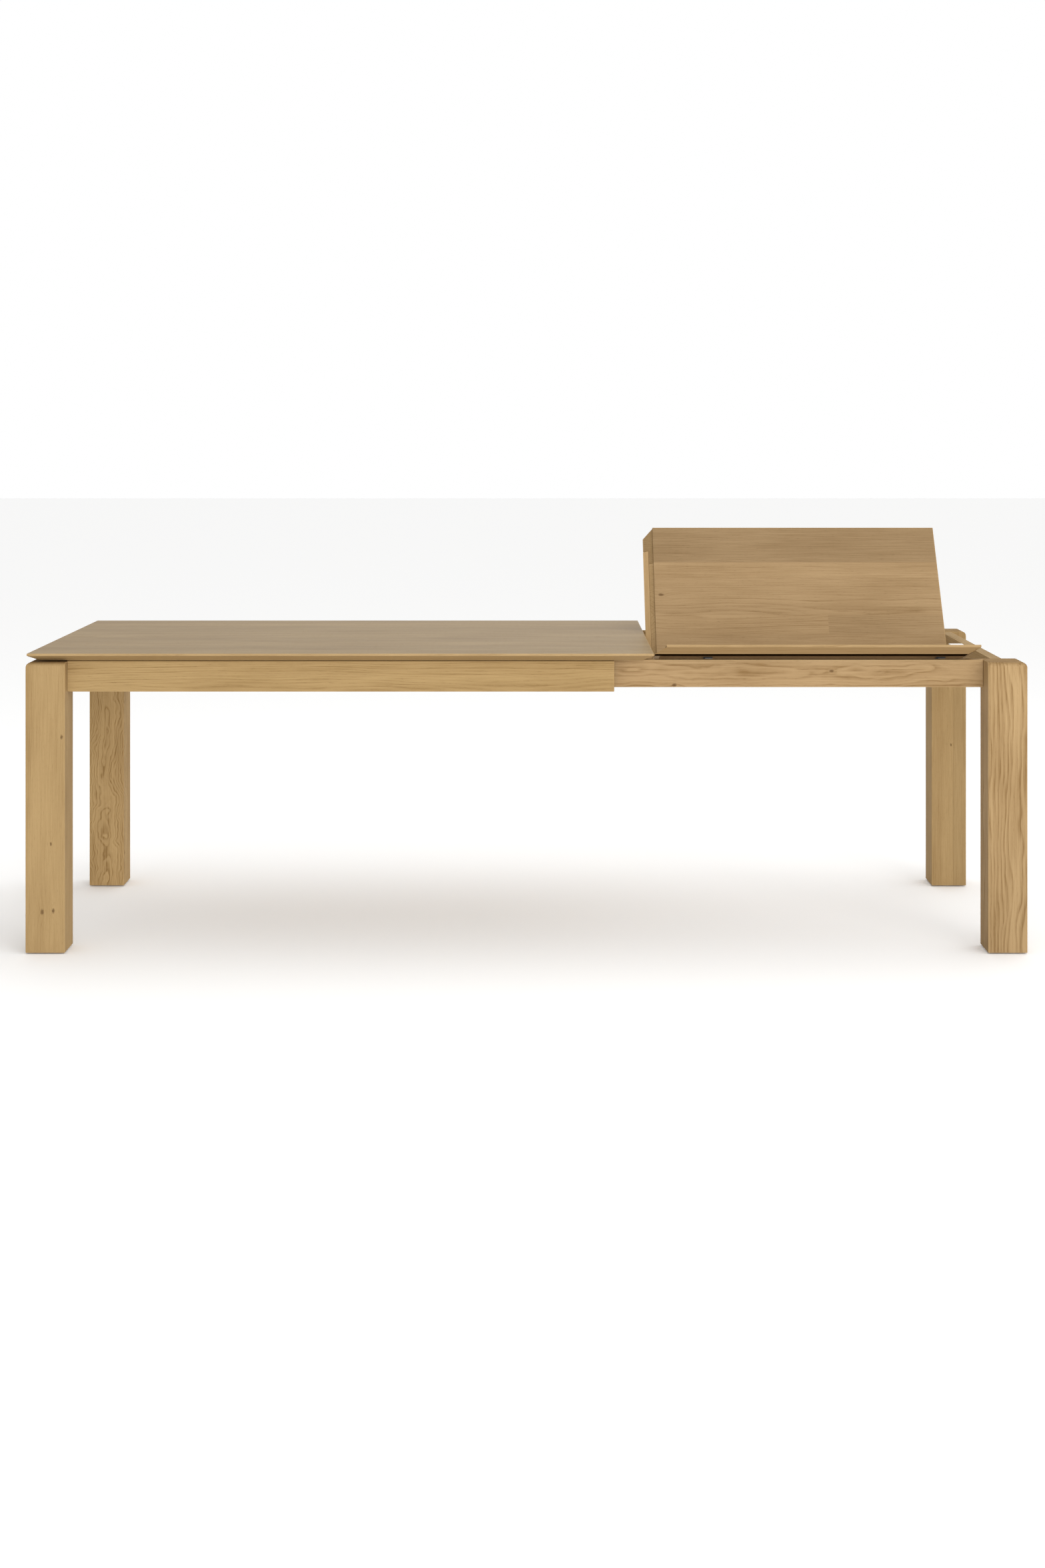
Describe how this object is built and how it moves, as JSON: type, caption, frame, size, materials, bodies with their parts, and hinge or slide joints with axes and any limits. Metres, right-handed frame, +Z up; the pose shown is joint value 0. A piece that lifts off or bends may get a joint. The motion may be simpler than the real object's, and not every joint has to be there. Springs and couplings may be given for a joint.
{
  "type": "extendable dining table",
  "caption": "Solid wood extendable dining table with square corner legs, pulled open on guide rails, its butterfly leaf part unfolded",
  "frame": {"origin": "On the floor, in the middle of the box round the pulled-out table.", "axes": "+Z up, +X along the table towards the leg frame that pulls out, +Y to the rear edge; the front edge is at -Y."},
  "size_m": [2.551, 0.9, 1.0494],
  "materials": {
    "oak_top": "satin oiled, greyed by the light across it",
    "oak_frame": "satin oiled",
    "oak_leaf": "satin oiled",
    "beech": "plain, unoiled",
    "aluminium": "anodised",
    "zinc_steel": "zinc plated",
    "black_steel": "black powder coat",
    "brass": "satin",
    "white_plastic": "satin",
    "nylon": "matte"
  },
  "bodies": {
    "left_frame": {"main_top": "oak_top", "end_rail_left": "oak_frame", "leg_left_front": "oak_frame", "leg_left_rear": "oak_frame", "glide_left_front": "nylon", "glide_left_rear": "nylon", "leg_bracket_left_front": "zinc_steel", "leg_bracket_left_rear": "zinc_steel", "outer_apron_front": "oak_frame", "outer_apron_rear": "oak_frame", "guide_rail_front": "aluminium", "guide_rail_rear": "aluminium", "top_bearer_1": "beech", "top_bearer_2": "beech"},
    "right_frame": {"end_rail_right": "oak_frame", "leg_right_front": "oak_frame", "leg_right_rear": "oak_frame", "glide_right_front": "nylon", "glide_right_rear": "nylon", "leg_bracket_right_front": "zinc_steel", "leg_bracket_right_rear": "zinc_steel", "inner_apron_front": "oak_frame", "inner_apron_rear": "oak_frame", "guide_shoe_front_1": "nylon", "guide_shoe_front_2": "nylon", "guide_shoe_rear_1": "nylon", "guide_shoe_rear_2": "nylon", "leaf_runner_front": "beech", "leaf_runner_rear": "beech", "tie_rail": "beech", "leaf_rest": "white_plastic"},
    "leaf_carriage": {"carriage_strip_front": "black_steel", "carriage_strip_rear": "black_steel", "carriage_bar": "black_steel", "leaf_support_left": "beech", "leaf_support_right": "beech", "pivot_bracket_left": "black_steel", "pivot_bracket_right": "black_steel"},
    "front_leaf": {"front_leaf_panel": "oak_leaf", "front_leaf_batten": "oak_leaf", "hinge_plate_left_front_leaf": "brass", "hinge_plate_right_front_leaf": "brass", "pivot_arm_left": "black_steel", "pivot_arm_right": "black_steel"},
    "hinge_links": {"hinge_link_left": "brass", "hinge_link_right": "brass"},
    "rear_leaf": {"rear_leaf_panel": "oak_leaf", "rear_leaf_batten": "oak_leaf", "hinge_plate_left_rear_leaf": "brass", "hinge_plate_right_rear_leaf": "brass"}
  },
  "joints": [
    {"name": "frame_slide", "type": "slide", "parent": "left_frame", "child": "right_frame", "axis": [1, 0, 0], "range_m": [0, 0.05]},
    {"name": "carriage_slide", "type": "slide", "parent": "right_frame", "child": "leaf_carriage", "axis": [1, 0, 0], "range_m": [0, 0.035]},
    {"name": "leaf_lift", "type": "hinge", "parent": "leaf_carriage", "child": "front_leaf", "pos_m": [0.7595, -0.35, 0.7], "axis": [1, 0, 0], "range_deg": [0, 13]},
    {"name": "leaf_fold", "type": "hinge", "parent": "front_leaf", "child": "hinge_links", "pos_m": [0.7595, -0.00166, 0.68403], "axis": [1, 0, 0], "range_deg": [0, 111]},
    {"name": "rear_leaf_unfold", "type": "hinge", "parent": "hinge_links", "child": "rear_leaf", "pos_m": [0.7595, 0.01198, 0.68088], "axis": [1, 0, 0], "range_deg": [-69, 0]}
  ],
  "couplings": [
    {"joint": "rear_leaf_unfold", "follows": "leaf_lift", "ratio": -5.3077}
  ]
}
